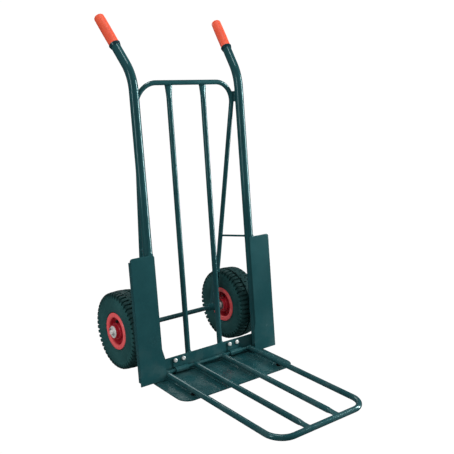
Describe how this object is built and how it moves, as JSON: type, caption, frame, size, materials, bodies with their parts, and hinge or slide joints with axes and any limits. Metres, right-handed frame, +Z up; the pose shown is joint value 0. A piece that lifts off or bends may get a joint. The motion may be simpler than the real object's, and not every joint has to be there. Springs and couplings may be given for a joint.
{
  "type": "hand truck",
  "caption": "Hand truck with a welded tube frame, bent-back handles, pneumatic wheels behind side plates, a toe plate and a folding tubular toe extension.",
  "frame": {"origin": "middle of the toe plate's underside, on the floor", "axes": "+Z up, X along the axle with left at -X, the load side and the toe extension at -Y, the handles at +Y"},
  "size_m": [0.563, 0.843, 1.1408],
  "materials": {
    "frame_paint": "gloss enamel",
    "grip_rubber": "satin",
    "dark_collar": "satin enamel",
    "zinc": "bright zinc",
    "bearing_steel": "ground",
    "tyre_rubber": "matt",
    "tube_rubber": "matt",
    "rim_red": "gloss",
    "black_rubber": "matt"
  },
  "bodies": {
    "frame": {"toe_plate": "frame_paint", "back_frame_tube": "frame_paint", "axle": "frame_paint", "hinge_bolts": "zinc", "hinge_nuts": "zinc", "rest_pads": "black_rubber", "left_upright_tube": "frame_paint", "left_grip": "grip_rubber", "left_grip_collar": "dark_collar", "left_side_plate": "frame_paint", "left_load_bar": "frame_paint", "left_stay_rod": "frame_paint", "left_weld_lug": "frame_paint", "left_axle_bracket": "frame_paint", "left_axle_collar": "frame_paint", "left_wheel_spacer": "frame_paint", "left_hinge_bracket": "frame_paint", "left_axle_washer": "zinc", "left_split_pin": "zinc", "right_upright_tube": "frame_paint", "right_grip": "grip_rubber", "right_grip_collar": "dark_collar", "right_side_plate": "frame_paint", "right_load_bar": "frame_paint", "right_stay_rod": "frame_paint", "right_weld_lug": "frame_paint", "right_axle_bracket": "frame_paint", "right_axle_collar": "frame_paint", "right_wheel_spacer": "frame_paint", "right_hinge_bracket": "frame_paint", "right_axle_washer": "zinc", "right_split_pin": "zinc"},
    "extension": {"extension_pivot_rod": "frame_paint", "extension_loop_tube": "frame_paint", "left_extension_bar": "frame_paint", "right_extension_bar": "frame_paint"},
    "left_wheel": {"left_tyre": "tyre_rubber", "left_inner_tube": "tube_rubber", "left_rim_outer_half": "rim_red", "left_rim_inner_half": "rim_red", "left_rim_bolts": "zinc", "left_hub_tube": "bearing_steel", "left_outer_bearing": "bearing_steel", "left_inner_bearing": "bearing_steel", "left_valve_stem": "black_rubber"},
    "right_wheel": {"right_tyre": "tyre_rubber", "right_inner_tube": "tube_rubber", "right_rim_outer_half": "rim_red", "right_rim_inner_half": "rim_red", "right_rim_bolts": "zinc", "right_hub_tube": "bearing_steel", "right_outer_bearing": "bearing_steel", "right_inner_bearing": "bearing_steel", "right_valve_stem": "black_rubber"}
  },
  "joints": [
    {"name": "extension_fold", "type": "hinge", "parent": "frame", "child": "extension", "pos_m": [0, 0.0965, 0.018], "axis": [-1, 0, 0], "range_deg": [0, 90]},
    {"name": "left_wheel_spin", "type": "hinge", "parent": "frame", "child": "left_wheel", "pos_m": [-0.222, 0.262, 0.13], "axis": [1, 0, 0], "continuous": true},
    {"name": "right_wheel_spin", "type": "hinge", "parent": "frame", "child": "right_wheel", "pos_m": [0.222, 0.262, 0.13], "axis": [1, 0, 0], "continuous": true}
  ]
}
